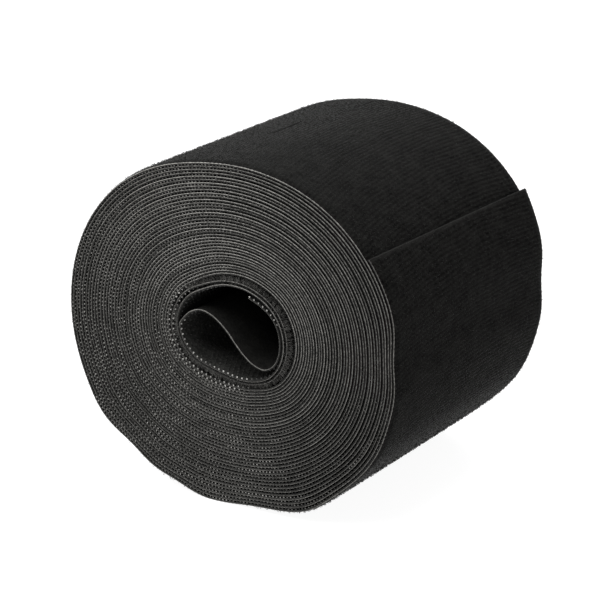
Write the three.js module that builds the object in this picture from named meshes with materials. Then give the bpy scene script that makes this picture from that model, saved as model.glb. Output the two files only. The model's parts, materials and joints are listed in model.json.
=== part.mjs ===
// A coreless roll of back-to-back hook and loop tape. A hook strip and a loop strip are bonded back to back
// and wound together with the hooks inwards. The free inner end turns back through the bore in an S, and the
// cut outer end lies on the roll as a tail of three links that peels off it.
// Millimetres: X across the end face, Y along the roll's axis, Z up. The roll stands on Z = 0.
import * as THREE from "three";

// The tape.
const TAPE_WIDTH = 100;
const HOOK_THICKNESS = 0.45;
const LOOP_THICKNESS = 0.5;
const BOND_GAP = 0.3; // the film between the two strips
const LAP_GAP = 0.61; // hooks pressed into loops, between one lap and the next

// The winding. Angles are in degrees, anticlockwise from +X in the front view.
const BORE_WIDTH = 41;
const BORE_HEIGHT = 31.5;
const WHOLE_LAPS = 23;
const STEPS_PER_LAP = 22;
const START_ANGLE = 185; // where the first lap leaves the curled inner end
const CUT_ANGLE = 32; // where the cut outer end lies
const SAG = 2; // how far the outermost lap hangs below the bore's middle
const FLAT_DEPTH = 1; // how deep the roll's weight presses its bottom flat

// The S of the inner end.
const NEAR_TURN_RADIUS = 7; // the U-turn that the first lap comes out of
const FAR_TURN_RADIUS = 6.5; // the U-turn into the free flap
const FAR_TURN_ANGLE = -16; // where the flap leaves the bore's wall
const FLAP_END_ANGLE = 60; // where the flap's cut end lies
const FLAP_GAP = 0.8; // between the flap and the bore's wall
const FLAP_STEPS = 6;
const TURN_STEPS = 8; // an even number, so that the hinge lies in the middle of the turn

// The tail.
const TAIL_LINKS = 3;
const STEPS_PER_LINK = 1;
const JOINT_GAP = 0.3; // between pieces that turn against each other

// Worked out from the sizes above.
const TAPE_THICKNESS = HOOK_THICKNESS + BOND_GAP + LOOP_THICKNESS;
const LAP_PITCH = TAPE_THICKNESS + LAP_GAP;
const HOOK_LEVELS = [-BOND_GAP / 2 - HOOK_THICKNESS, -BOND_GAP / 2];
const LOOP_LEVELS = [BOND_GAP / 2, BOND_GAP / 2 + LOOP_THICKNESS];
const BOTTOM_ANGLE = 270;
const STEP_ANGLE = 360 / STEPS_PER_LAP;
const TOTAL_ANGLE = WHOLE_LAPS * 360 + (CUT_ANGLE + 360 - START_ANGLE);

// Points of the end face are Vector2s of X and Z, with the bore's middle at the origin.
const radians = THREE.MathUtils.degToRad;
const directionOf = (turn) => new THREE.Vector2(Math.cos(turn), Math.sin(turn));
const polar = (angle, radius) => directionOf(radians(angle)).multiplyScalar(radius);
const rightOf = (heading) => new THREE.Vector2(heading.y, -heading.x);
const headingOf = (from, to) => to.clone().sub(from).normalize();

// The lap's radius before its bottom is pressed flat: an oval that keeps the bore's squash as it grows.
function freeRadius(angle) {
  const mean = (BORE_WIDTH + BORE_HEIGHT) / 4 + TAPE_THICKNESS / 2;
  const squash = (BORE_WIDTH - BORE_HEIGHT) / 4;
  return mean + squash * Math.cos(radians(2 * angle)) + (LAP_PITCH * (angle - START_ANGLE)) / 360;
}

// A point on the middle of the wound tape. The two points nearest the bottom of a lap share one height.
function lapPoint(angle) {
  const fromBottom = THREE.MathUtils.euclideanModulo(angle - BOTTOM_ANGLE + 180, 360) - 180;
  const pressed = Math.abs(fromBottom) < STEP_ANGLE;
  const reached = pressed ? angle - fromBottom : angle;
  const share = (reached - START_ANGLE) / TOTAL_ANGLE;
  let radius = freeRadius(reached);
  if (pressed) {
    radius = (radius - FLAT_DEPTH * share) / Math.cos(radians(fromBottom));
  }
  return polar(angle, radius).sub(new THREE.Vector2(0, SAG * share));
}

// The flap follows the bore's wall from inside.
function flapPoint(angle) {
  const wall = lapPoint(angle + 360);
  return wall.setLength(wall.length() - TAPE_THICKNESS - FLAP_GAP);
}

// Points of a turn about a centre, from one heading to another, both ends included.
function turnPoints(centre, radius, startHeading, sweep) {
  const spoke = rightOf(startHeading).multiplyScalar(Math.sign(sweep) * radius);
  const points = [];
  for (let step = 0; step <= TURN_STEPS; step += 1) {
    points.push(spoke.clone().rotateAround(new THREE.Vector2(), (sweep * step) / TURN_STEPS).add(centre));
  }
  return points;
}

// The S from the flap's cut end to the start of the first lap: flap, turn, straight, turn.
function curlPoints() {
  const flap = [];
  for (let step = 0; step < FLAP_STEPS; step += 1) {
    flap.push(flapPoint(THREE.MathUtils.lerp(FLAP_END_ANGLE, FAR_TURN_ANGLE, step / FLAP_STEPS)));
  }
  const farStart = flapPoint(FAR_TURN_ANGLE);
  const farHeading = headingOf(flapPoint(FAR_TURN_ANGLE + 1), farStart);
  const farCentre = farStart.clone().addScaledVector(rightOf(farHeading), FAR_TURN_RADIUS);
  const nearEnd = lapPoint(START_ANGLE);
  const nearHeading = headingOf(nearEnd, lapPoint(START_ANGLE + 1));
  const nearCentre = nearEnd.clone().addScaledVector(rightOf(nearHeading), -NEAR_TURN_RADIUS);
  // The straight is the line that touches both turns and crosses between their centres.
  const across = nearCentre.clone().sub(farCentre);
  const lean = Math.acos(-(FAR_TURN_RADIUS + NEAR_TURN_RADIUS) / across.length());
  const straight = across.angle() + Math.PI / 2 - lean;
  const straightHeading = directionOf(straight);
  const farSweep = straight - farHeading.angle();
  const nearSweep = nearHeading.angle() - straight;
  const farTurn = turnPoints(farCentre, FAR_TURN_RADIUS, farHeading, farSweep);
  const nearTurn = turnPoints(nearCentre, NEAR_TURN_RADIUS, straightHeading, nearSweep);
  return [...flap, ...farTurn, ...nearTurn];
}

// The whole tape from its inner to its outer cut end, with corners centred on the bottom of each lap.
function tapePoints() {
  const points = curlPoints();
  const firstCorner = BOTTOM_ANGLE + STEP_ANGLE / 2;
  const first = Math.ceil((START_ANGLE + STEP_ANGLE / 4 - firstCorner) / STEP_ANGLE);
  const last = Math.round((START_ANGLE + TOTAL_ANGLE - firstCorner) / STEP_ANGLE);
  for (let corner = first; corner <= last; corner += 1) {
    points.push(lapPoint(firstCorner + corner * STEP_ANGLE));
  }
  return points;
}

// At each corner, the way to the loop side, lengthened so that a level keeps its distance to the middle.
function mitresOf(points) {
  return points.map((point, index) => {
    const before = rightOf(headingOf(points[Math.max(index - 1, 0)], points[Math.max(index, 1)]));
    const next = Math.min(index + 1, points.length - 1);
    const after = rightOf(headingOf(points[next - 1], points[next]));
    const mitre = before.clone().add(after).normalize();
    return mitre.divideScalar(mitre.dot(before));
  });
}

const tape = tapePoints();
const mitres = mitresOf(tape);
const hingeCorner = FLAP_STEPS + TURN_STEPS / 2;
const lastCorner = tape.length - 1;
const tailCorner = lastCorner - TAIL_LINKS * STEPS_PER_LINK;

// A point at a level of the tape, at a place counted in corners from the inner end.
function tapePoint(place, level) {
  const corner = Math.min(Math.floor(place), lastCorner - 1);
  const start = tape[corner].clone().addScaledVector(mitres[corner], level);
  const end = tape[corner + 1].clone().addScaledVector(mitres[corner + 1], level);
  return start.lerp(end, place - corner);
}

// Half a joint's gap at a corner, on the side of the corner that follows it or comes before it.
const halfGapAfter = (corner) => JOINT_GAP / 2 / tape[corner].distanceTo(tape[corner + 1]);
const halfGapBefore = (corner) => JOINT_GAP / 2 / tape[corner].distanceTo(tape[corner - 1]);

// A strip of the tape between two places and two levels, as one closed body.
function stripGeometry(fromPlace, toPlace, levels) {
  const places = [fromPlace];
  for (let corner = Math.floor(fromPlace) + 1; corner < toPlace; corner += 1) {
    places.push(corner);
  }
  places.push(toPlace);
  const positions = [];
  places.forEach((place) => {
    const inner = tapePoint(place, levels[0]);
    const outer = tapePoint(place, levels[1]);
    positions.push(inner.x, -TAPE_WIDTH / 2, inner.y, outer.x, -TAPE_WIDTH / 2, outer.y);
    positions.push(outer.x, TAPE_WIDTH / 2, outer.y, inner.x, TAPE_WIDTH / 2, inner.y);
  });
  const triangles = [];
  for (let ring = 0; ring < places.length - 1; ring += 1) {
    for (let side = 0; side < 4; side += 1) {
      const a = ring * 4 + side;
      const b = ring * 4 + ((side + 1) % 4);
      triangles.push(a, b, b + 4, a, b + 4, a + 4);
    }
  }
  const end = (places.length - 1) * 4;
  triangles.push(0, 2, 1, 0, 3, 2, end, end + 1, end + 2, end, end + 2, end + 3);
  const geometry = new THREE.BufferGeometry();
  geometry.setAttribute("position", new THREE.Float32BufferAttribute(positions, 3));
  geometry.setIndex(triangles);
  geometry.computeVertexNormals();
  return geometry;
}

const finish = (color, roughness) => new THREE.MeshStandardMaterial({ color, roughness, metalness: 0 });
const hookMaterial = () => finish(0x3a3a3c, 0.55);
const loopMaterial = () => finish(0x1d1d1f, 0.95);

// The hook strip and the loop strip of one stretch of the tape.
function tapeStretch(name, fromPlace, toPlace) {
  const hook = new THREE.Mesh(stripGeometry(fromPlace, toPlace, HOOK_LEVELS), hookMaterial());
  hook.name = `${name}_hook_strip`;
  const loop = new THREE.Mesh(stripGeometry(fromPlace, toPlace, LOOP_LEVELS), loopMaterial());
  loop.name = `${name}_loop_strip`;
  return [hook, loop];
}

// The least gap of a wound strip to itself, on its corners and the chords between them.
function leastGapToItself(levels) {
  const middle = (levels[0] + levels[1]) / 2;
  const points = tape.map((point, corner) => point.clone().addScaledVector(mitres[corner], middle));
  const chord = new THREE.Line3();
  const nearest = new THREE.Vector3();
  const spaced = 3; // corners between a point and a chord that isn't its own stretch
  let least = Infinity;
  points.forEach((point, index) => {
    const place = new THREE.Vector3(point.x, point.y, 0);
    for (let other = 0; other < points.length - 1; other += 1) {
      if (Math.abs(other - index) > spaced) {
        chord.start.set(points[other].x, points[other].y, 0);
        chord.end.set(points[other + 1].x, points[other + 1].y, 0);
        chord.closestPointToPoint(place, true, nearest);
        least = Math.min(least, nearest.distanceTo(place));
      }
    }
  });
  return least - (levels[1] - levels[0]);
}

const roll = new THREE.Group();
roll.add(...tapeStretch("inner_end", 0, hingeCorner - halfGapBefore(hingeCorner)));
const windingStart = hingeCorner + halfGapAfter(hingeCorner);
roll.add(...tapeStretch("winding", windingStart, tailCorner - halfGapBefore(tailCorner)));
for (let link = 1; link <= TAIL_LINKS; link += 1) {
  const root = tailCorner + (link - 1) * STEPS_PER_LINK;
  const tip = root + STEPS_PER_LINK;
  const end = link < TAIL_LINKS ? tip - halfGapBefore(tip) : tip;
  roll.add(...tapeStretch(`tail_${link}`, root + halfGapAfter(root), end));
}
console.log(`hook strip: least gap to itself ${leastGapToItself(HOOK_LEVELS).toFixed(2)} mm`);
console.log(`loop strip: least gap to itself ${leastGapToItself(LOOP_LEVELS).toFixed(2)} mm`);

// The part's origin is under the middle of its box.
const box = new THREE.Box3().setFromObject(roll);
roll.position.set(-(box.min.x + box.max.x) / 2, 0, -box.min.z);
const part = new THREE.Group();
part.add(roll);

export default part;
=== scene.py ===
"""A coreless roll of black back-to-back hook and loop tape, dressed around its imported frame."""
import json
import math

import bpy
import numpy as np
from bpy.props import FloatProperty, FloatVectorProperty, IntProperty, PointerProperty
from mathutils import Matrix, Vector


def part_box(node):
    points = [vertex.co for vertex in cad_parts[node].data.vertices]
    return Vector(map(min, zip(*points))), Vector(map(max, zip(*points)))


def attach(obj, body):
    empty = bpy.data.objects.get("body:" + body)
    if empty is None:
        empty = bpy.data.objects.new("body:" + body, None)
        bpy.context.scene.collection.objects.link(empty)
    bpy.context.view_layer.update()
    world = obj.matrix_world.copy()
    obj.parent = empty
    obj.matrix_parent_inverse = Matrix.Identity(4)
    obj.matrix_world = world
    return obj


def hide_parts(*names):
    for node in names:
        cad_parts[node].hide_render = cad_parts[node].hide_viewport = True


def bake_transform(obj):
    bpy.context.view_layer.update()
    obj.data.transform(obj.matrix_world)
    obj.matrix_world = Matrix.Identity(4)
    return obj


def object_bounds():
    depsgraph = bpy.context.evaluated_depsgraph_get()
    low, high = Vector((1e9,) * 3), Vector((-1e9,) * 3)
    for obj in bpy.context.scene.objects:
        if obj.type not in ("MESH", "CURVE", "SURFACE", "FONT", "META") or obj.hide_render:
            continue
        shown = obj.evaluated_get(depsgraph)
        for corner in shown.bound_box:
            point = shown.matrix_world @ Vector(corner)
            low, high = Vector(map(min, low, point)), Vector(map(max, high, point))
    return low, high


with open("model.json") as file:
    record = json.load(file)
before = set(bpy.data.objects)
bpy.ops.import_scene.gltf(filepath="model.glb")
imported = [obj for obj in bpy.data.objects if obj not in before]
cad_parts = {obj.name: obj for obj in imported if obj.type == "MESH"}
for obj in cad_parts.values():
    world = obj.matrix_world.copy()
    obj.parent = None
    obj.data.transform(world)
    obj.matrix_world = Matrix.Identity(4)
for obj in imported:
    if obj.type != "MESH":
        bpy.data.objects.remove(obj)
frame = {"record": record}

bl_info = {
    "name": "Hook and loop tape roll",
    "version": (1, 0, 0),
    "blender": (4, 5, 0),
    "location": "3D View > Sidebar > Tape roll",
    "description": "Builds a roll of back-to-back hook and loop tape around its packed frame",
    "category": "Object",
}

CAD_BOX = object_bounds()
CAD_LOW, CAD_HIGH = CAD_BOX
JOINTS = {joint["name"]: joint for joint in frame["record"]["behaviour"]["joints"]}
TAIL_JOINTS = ("tail_peel", "tail_2_flex", "tail_3_flex")
TAIL_PARTS = ("root", "middle", "tip")
MM = 0.001

# The roll's axis runs along Y through this point, and every angle below is about it,
# in degrees from +X towards +Z.
MIDDLE_X = (CAD_LOW.x + CAD_HIGH.x) / 2
MIDDLE_Z = (CAD_LOW.z + CAD_HIGH.z) / 2
TAPE_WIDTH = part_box("winding_loop_strip")[1].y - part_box("winding_loop_strip")[0].y

# The winding: where it starts, where the tail is cut and how finely it is drawn. The path runs
# on for a few steps past the cut, because the cut is askew.
START_ANGLE = 178.0
CUT_ANGLE = 32.9
WHOLE_LAPS = 38
PATH_STEPS_PER_LAP = 360
SPARE_STEPS = 4
STRIP_STEPS_PER_LAP = 120

# The bore's radius in mm at every 30 degrees, as the innermost lap lies: low on the left
# and at the bottom, wide on the right.
BORE_RADII = (21.1, 20.6, 18.5, 16.9, 16.4, 18.4, 18.9, 16.4, 13.2, 12.8, 15.5, 19.5)
# Room in mm, at the same angles, that the loose laps leave to the tight winding, the pitch
# of the loose laps and the turn where the tight winding starts.
CRESCENT = (2.5, 2.6, 2.3, 1.8, 1.5, 1.3, 1.4, 1.9, 2.0, 1.4, 1.1, 1.7)
LOOSE_PITCH = 1.12
LOOSE_END = 2.4
# The turns between which the tape crosses that room, on the upper left.
CROSSING = (1.72, 2.1)

# The outside in mm: a mean radius, the sag that makes it oval, and pressed flats. The laps lie
# closer together at first, by this share.
OUTSIDE_RADIUS = 62.4
OUTSIDE_OVAL = 2.87
OUTSIDE_SQUARE = -0.42
PITCH_GROWTH = 0.1
# Dents and bulges of the outer laps: angle, height in mm, half width in degrees. They fade
# inwards with this power of a lap's place in the winding.
DENTS = (
    (-145, 0.9, 9), (-131, -1.2, 8), (-112, -0.5, 6), (-100, 0.6, 7), (-81, -0.9, 9), (-61, 1.4, 9),
    (-43, -0.4, 10), (-14, -1.0, 11), (3, -2.1, 9), (62, 0.4, 26), (102, -0.5, 14),
)
DENT_DEPTH_POWER = 4

# The free inner end, in mm from the roll's axis: up the bore's right wall, round the far turn
# and back across the bore to the first lap, which it meets over so many steps.
INNER_CURL = (
    (8.3, 14.9), (12.8, 12.9), (16.7, 10.1), (19.3, 6.2), (20.3, 1.8), (19.9, -2.8),
    (17.9, -6.8), (14.2, -8.9), (9.9, -7.9), (6.3, -5.4), (3.1, -2.2), (0.0, 1.4),
    (-3.4, 4.4), (-7.0, 6.5), (-11.0, 7.2), (-14.9, 5.7), (-17.7, 2.9),
)
CURL_STEPS = 12
CURL_MEETS_LAP = 12
# The point of the curl where the free flap's bend ends, and how much tape the bend takes.
FLAP_ROOT_INDEX = 10
FLAP_BEND = 4.5 * MM

# The tail's pieces: the root starts this far before the peel line, and each bend takes
# this much of the tape on each side of its line.
TAIL_LEAD = 10 * MM
TAIL_BENDS = (6 * MM, 8.5 * MM, 8.5 * MM)
# The cut end lifts off towards the back: how far, over what length, and from where across the
# tape, as a share of half its width.
TAIL_LIFT = 1.2 * MM
TAIL_LIFT_REACH = 20 * MM
TAIL_LIFT_START = -0.3
# The tail is cut askew: its front corner is this much longer and its back corner as much shorter.
CUT_SKEW = 0.9 * MM
# The outer lap's loop fabric is drawn finely from so many turns before the cut.
OUTER_LAP_TURNS = 1.28

# Room left between the two bonded strips, the bevel of their cut edges and the wider,
# fluffed-up rim of the loop fabric.
BOND_GAP = 0.01 * MM
EDGE_BEVEL = 0.1 * MM
RIM_BEVEL = 0.19 * MM
# How far a lap's edge wanders along the axis, and over what length of tape.
EDGE_WANDER = 0.28 * MM
EDGE_WANDER_LENGTH = 75 * MM
# No row of a wound strip stands nearer to its ends than this.
STRIP_END_ROOM = 0.1 * MM
# Distance between the rows of a finely drawn strip, and points across its face.
DENSE_STEP = 0.375 * MM
DENSE_COLUMNS = 61
TAIL_COLUMNS = 25
# Slots of a strip's materials.
FACE, EDGE, RIM = range(3)

# Creases pressed into the outer lap: angle, place along the axis and half length in mm,
# and depth in mm. They fade out at their ends.
CREASES = ((99, 0, 10, 0.3), (92, 39, 7, 0.2))
CREASE_HALF_WIDTH = 0.45 * MM
CREASE_FADE = 4 * MM
# How strongly the ribs bow along the tape, and how far behind its middle the bow's top lies.
RIB_BOW = 1.5
RIB_BOW_MIDDLE = 18 * MM
# The ribs sway by this share of their pitch, in lumps so long and so wide.
RIB_SWAY = 0.35
RIB_SWAY_LUMPS = (9 * MM, 14 * MM)
# Sizes of the clumps that the brushed pile is matted in.
CLUMP_SIZES = (1.7 * MM, 4.5 * MM)
# Painted shade and light of the loop face: the height that goes from a valley painted dark or a crest
# painted light to its middle tone.
RIB_SHADE = 0.05 * MM

# How far the pile stands over the fabric where nothing lies on it, and how far in from the
# slit edges it gets there. No loops of pile stand nearer to the floor than the last size.
PILE_LOFT = 0.45 * MM
LOFT_REACH = 2 * MM
FLOOR_ROOM = 0.8 * MM
# A pile loop's feet and the point that it bends towards, as multiples of its span. PILE_RISE
# is that point's height.
PILE_FEET = ((-0.5, 0, -0.1), (0.5, 0.1, -0.1))
PILE_TOP = (0.1, 0.3)
PILE_RISE = 1.1
PILE_STEPS = 3
PILE_SCALES = (0.6, 1.25)
# Steps of the surface that pile grows on, along and across the tape.
PILE_GUIDE_STEPS = (2 * MM, 2.5 * MM)
# Pile of the loose laps round the bore: the turns it stands on, how high it rises as a
# multiple of its span, and how many loops there are to one on the outside. It stands between
# these distances from the slit edges.
LOOSE_PILE = ((0.0, 0.95, 0.75, 4), (0.95, 1.42, 3.6, 18), (1.42, 2.12, 3.9, 12))
LOOSE_PILE_BAND = (0.15 * MM, 4.5 * MM)
# Pile of the outer lap: how many turns before the cut it starts, and in how many pieces.
OUTER_PILE_TURNS = 1.01
OUTER_PILE_PIECES = 3
# What is added to the seed for each kind of pile.
OUTER_PILE_SEED, TAIL_PILE_SEED, LOOSE_PILE_SEED = 10, 20, 30

# A hook's foot, the point that it bends towards and its tip, as multiples of its height.
HOOK_SHAPE = ((0, 0, -0.1), (-0.1, 0, 1.75), (0.75, 0, 0.42))
HOOK_STEPS = 4
HOOK_SCALES = (0.85, 1.05)
HOOK_LINE_STEP = 0.5 * MM
# Hooks stand this far in from the slit edges and from the ends of the free pieces, and those
# of the bore end at this turn.
HOOK_ROW_INSET = 0.14 * MM
HOOK_END_ROOM = 0.3 * MM
BORE_HOOKS_END = 0.95
# The outermost hooks stand deeper in the roll on the right and above, where the laps are
# pressed over them: how much deeper, and the angles where that ends and starts again.
EDGE_ROW_DEPTH = 1.4 * MM
EDGE_ROW_ANGLES = (112, 152, 272, 318)
# On the first half lap they stay at the edge for so many degrees more.
FIRST_LAP_REACH = 8
FIRST_LAP_END = 0.5
# In the tight laps they come to the edge between these angles instead of the first two, and
# everywhere at least by this share of the way.
TIGHT_ROW_ANGLES = (50, 125)
TIGHT_ROW_LEAST = 0.6
# There they also stand unevenly: how deep, over what length, and the turns where that starts.
TIGHT_ROW_DEPTH = 0.65 * MM
TIGHT_ROW_WANDER = 3 * MM
TIGHT_ROW_SEED = 3
TIGHT_TURNS = (3.4, 4.6)
# On the second lap they stay deep, from the first pair of these turns to the second.
BARE_TURNS = ((0.42, 0.55), (1.5, 1.7))
# Along the free inner end they stand at the edge only near its tip, and come back to it over
# this length before the first lap.
FLAP_TIP_REACH = (12 * MM, 17 * MM)
CURL_END_REACH = 6 * MM
# The share of the turns where the inner laps' row of hooks ends and the outer laps' starts.
EDGE_ROW_SPLIT = 0.66
# Hooks are painted pale at the slit edge, a painted highlight where they catch the light, from the first
# of these depths to the second.
HOOK_HIGHLIGHT_DEPTHS = (1.1 * MM, 0.5 * MM)

# The slit edges are painted darker on the right, painted shade of the side away from the key lamp: where
# that starts and ends along X, and the share of their grey that is gone there.
PAINTED_SHADE_SIDE = (-5 * MM, 55 * MM)
PAINTED_SHADE_SHARE = 0.52
# On the loose laps that starts so much further left, up to where the tight winding begins.
LOOSE_EDGE_SHIFT = 40 * MM
LOOSE_EDGE_TURNS = (2.2, 2.6)
# Towards the cut they lose their grey too, over this length, and the brushed face is painted paler beside
# the cut, a painted highlight of the cut's lit edge.
CUT_REACH = 28 * MM
CUT_SHARE = 0.75
CUT_HIGHLIGHT_REACH = 1.8 * MM
CUT_HIGHLIGHT_SHARE = 0.1
# Sizes of grain and of patches in the finishes, and how much the grain counts in their tone.
FABRIC_GRAIN = (0.55 * MM, 3.5 * MM)
STRAND_GRAIN = (0.8 * MM, 6 * MM)
HOOK_GRAIN = (1.2 * MM, 9 * MM)
FILM_GRAIN = (0.9 * MM, 7 * MM)
EDGE_GRAIN = (0.6 * MM, 110 * MM)
PAPER_GRAIN = (4 * MM, 80 * MM)
GRAIN_WEIGHT = 0.65

# The camera: lens and sensor in mm, and its place and aim from the roll's middle in metres.
CAMERA_LENS = 146.5
CAMERA_SENSOR = 36.0
CAMERA_PLACE = (0.4252, -0.6671, 0.2666)
CAMERA_AIM = (-0.0028, -0.0018, -0.0015)
# The studio: half the floor's side, the even light all round, and the lamps with their power,
# their spread and their place from the roll's middle.
FLOOR_HALF_SIDE = 30.0
EVEN_LIGHT = 0.48
LAMPS = (
    ("key_lamp", "SUN", 4.0, ("angle", math.radians(60)), (-0.25, -0.28, 0.92)),
    ("back_lamp", "AREA", 14.0, ("size", 0.9), (-0.5, 1.2, 0.8)),
    ("fill_lamp", "AREA", 2.0, ("size", 0.9), (1, -0.2, 0.05)),
)


def size_property(name, description, default):
    """A length that a user can change."""
    return FloatProperty(name=name, description=description, default=default, unit="LENGTH")


def colour_property(name, description, default):
    """A colour that a user can change."""
    return FloatVectorProperty(
        name=name, description=description, default=default, subtype="COLOR", min=0, max=1
    )


class TapeRollSizes(bpy.types.PropertyGroup):
    """Sizes of the tape and of what stands on it."""

    tape_width: size_property("Tape width", "Width of the tape along the roll's axis", TAPE_WIDTH)
    hook_base: size_property("Hook base", "Thickness of the film that the hooks stand on", 0.28 * MM)
    loop_base: size_property("Loop base", "Thickness of the brushed loop fabric", 0.30 * MM)
    hook_height: size_property("Hook height", "How far a hook stands off its base", 0.42 * MM)
    hook_strand: size_property("Hook strand", "Thickness of a hook's strand", 0.28 * MM)
    hook_pitch: size_property("Hook pitch", "Distance from hook to hook and from row to row", 1.83 * MM)
    edge_pitch: size_property(
        "Edge hook pitch", "Distance from hook to hook along a tight lap's edge", 1.38 * MM
    )
    rib_pitch: size_property("Rib pitch", "Distance between the ribs across the loop fabric", 1.5 * MM)
    rib_height: size_property("Rib height", "Height of a rib above its valley", 0.10 * MM)
    clump_height: size_property("Clump height", "How uneven the brushed pile is", 0.05 * MM)
    pile_span: size_property("Pile loop span", "Distance between the feet of a pile loop", 0.9 * MM)
    pile_strand: size_property("Pile strand", "Thickness of a pile loop's strand", 0.07 * MM)
    pile_density: FloatProperty(
        name="Pile density", description="Raised pile loops on each square metre", default=4.5e5
    )
    seed: IntProperty(name="Seed", description="Seed of everything that is scattered", default=7)


class TapeRollColours(bpy.types.PropertyGroup):
    """Colours of the tape and of the studio."""

    loop_colour: colour_property("Loop fabric", "Brushed loop fabric", (0.0042, 0.0042, 0.0039))
    # Painted highlight: the brushed face beside the cut is mixed towards this pale grey, standing for the
    # cut's lit edge.
    cut_highlight_colour: colour_property(
        "Dusty loop fabric", "Dust on the brushed loop fabric beside the cut", (0.085, 0.0835, 0.08)
    )
    strand_colour: colour_property("Pile strands", "Raised strands of the pile", (0.014, 0.0138, 0.013))
    # Painted light: the loose laps' pile is painted paler than the outer pile, lifting the shade in the
    # gaps round the bore.
    loose_strand_lit_colour: colour_property("Loose pile", "Pile strands of the loose laps", (0.062, 0.0609, 0.0574))
    hook_colour: colour_property("Hooks", "Hooks away from the slit edges", (0.023, 0.023, 0.0216))
    # Painted highlight: hooks at the slit edges are painted pale where they catch the light.
    edge_hook_highlight_colour: colour_property(
        "Edge hooks", "Scuffed hooks beside a slit edge", (0.19, 0.1863, 0.1761)
    )
    # Painted highlight: on the loose laps, where more light reaches them, paler still.
    loose_hook_highlight_colour: colour_property("Loose hooks", "Edge hooks of the loose laps", (0.28, 0.275, 0.261))
    base_colour: colour_property("Hook base", "Film that the hooks stand on", (0.021, 0.021, 0.0197))
    film_edge_colour: colour_property("Film edges", "Slit edges of the hook film", (0.011, 0.0108, 0.0101))
    # Painted highlight: the film's rims, the bevels of its hook side, are painted paler than its flat slit
    # edges.
    film_rim_colour: colour_property("Film rims", "Rims of the hook film", (0.04, 0.0392, 0.0367))
    fabric_edge_colour: colour_property(
        "Fabric edges", "Slit edges of the loop fabric", (0.07, 0.0686, 0.064)
    )
    # Painted highlight: the fabric's rims, its fluffed bevels on the free side, are painted paler than its
    # flat slit edges.
    rim_highlight_colour: colour_property("Fabric rims", "Fluffed rims of the loop fabric", (0.205, 0.2007, 0.1877))
    cut_edge_colour: colour_property(
        "Cut edge", "The loop fabric's edge at the cut tail", (0.045, 0.0442, 0.0413)
    )
    floor_colour: colour_property("Floor", "Studio floor", (0.2, 0.2, 0.2))


def smooth_step(value, low, high):
    """0 below low, 1 above high and a smooth rise between them."""
    part = np.clip((value - low) / (high - low), 0, 1)
    return part * part * (3 - 2 * part)


def soft_noise(across, along, seed):
    """Smooth noise from -1 to 1 with lumps about one unit across."""
    size = 64
    table = np.random.default_rng(seed).uniform(-1, 1, (size, size))
    column, row = np.floor(across).astype(int), np.floor(along).astype(int)
    u, v = across - column, along - row
    u, v = u * u * (3 - 2 * u), v * v * (3 - 2 * v)

    def corner(right, up):
        return table[(column + right) % size, (row + up) % size]

    near = corner(0, 0) * (1 - u) + corner(1, 0) * u
    far = corner(0, 1) * (1 - u) + corner(1, 1) * u
    return near * (1 - v) + far * v


def through_four(before, start, end, after, part):
    """A smooth curve from start to end whose slopes follow the neighbours on each side."""
    slope_in, slope_out = (end - before) / 2, (after - start) / 2
    cube, square = part**3, part**2
    rise = 3 * square - 2 * cube
    return (
        start * (1 - rise)
        + end * rise
        + slope_in * (cube - 2 * square + part)
        + slope_out * (cube - square)
    )


def round_about(values, angle):
    """A value at an angle, smooth through values that stand evenly round the circle."""
    step = 360 / len(values)
    place = (np.asarray(angle) / step) % len(values)
    first = np.floor(place).astype(int)
    keys = [np.take(values, first + shift, mode="wrap") for shift in (-1, 0, 1, 2)]
    return through_four(*keys, place - first)


def outside_radius(angle, share):
    """The radius in mm that the winding ends at, with the dents of the outer laps.

    share is how far through the winding a lap lies, because dents fade inwards."""
    turned = np.radians(angle)
    radius = (
        OUTSIDE_RADIUS
        + OUTSIDE_OVAL * np.cos(2 * turned)
        + OUTSIDE_SQUARE * np.cos(4 * turned)
    )
    for middle, height, half_width in DENTS:
        away = (np.asarray(angle) - middle + 180) % 360 - 180
        bulge = height * np.exp(-((away / half_width) ** 2))
        radius = radius + bulge * share**DENT_DEPTH_POWER
    return radius


def lap_radius(angle, turn, last_turn):
    """Radius in mm of the tape's middle at an angle, so many turns after its first lap starts."""
    loose = round_about(BORE_RADII, angle) + LOOSE_PITCH * np.minimum(turn, LOOSE_END)
    loose = loose + round_about(CRESCENT, angle) * smooth_step(turn, *CROSSING)
    share = np.clip((turn - LOOSE_END) / (last_turn - LOOSE_END), 0, 1)
    wound = share - PITCH_GROWTH * share * (1 - share)
    return loose + (outside_radius(angle, share) - loose) * wound


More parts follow.
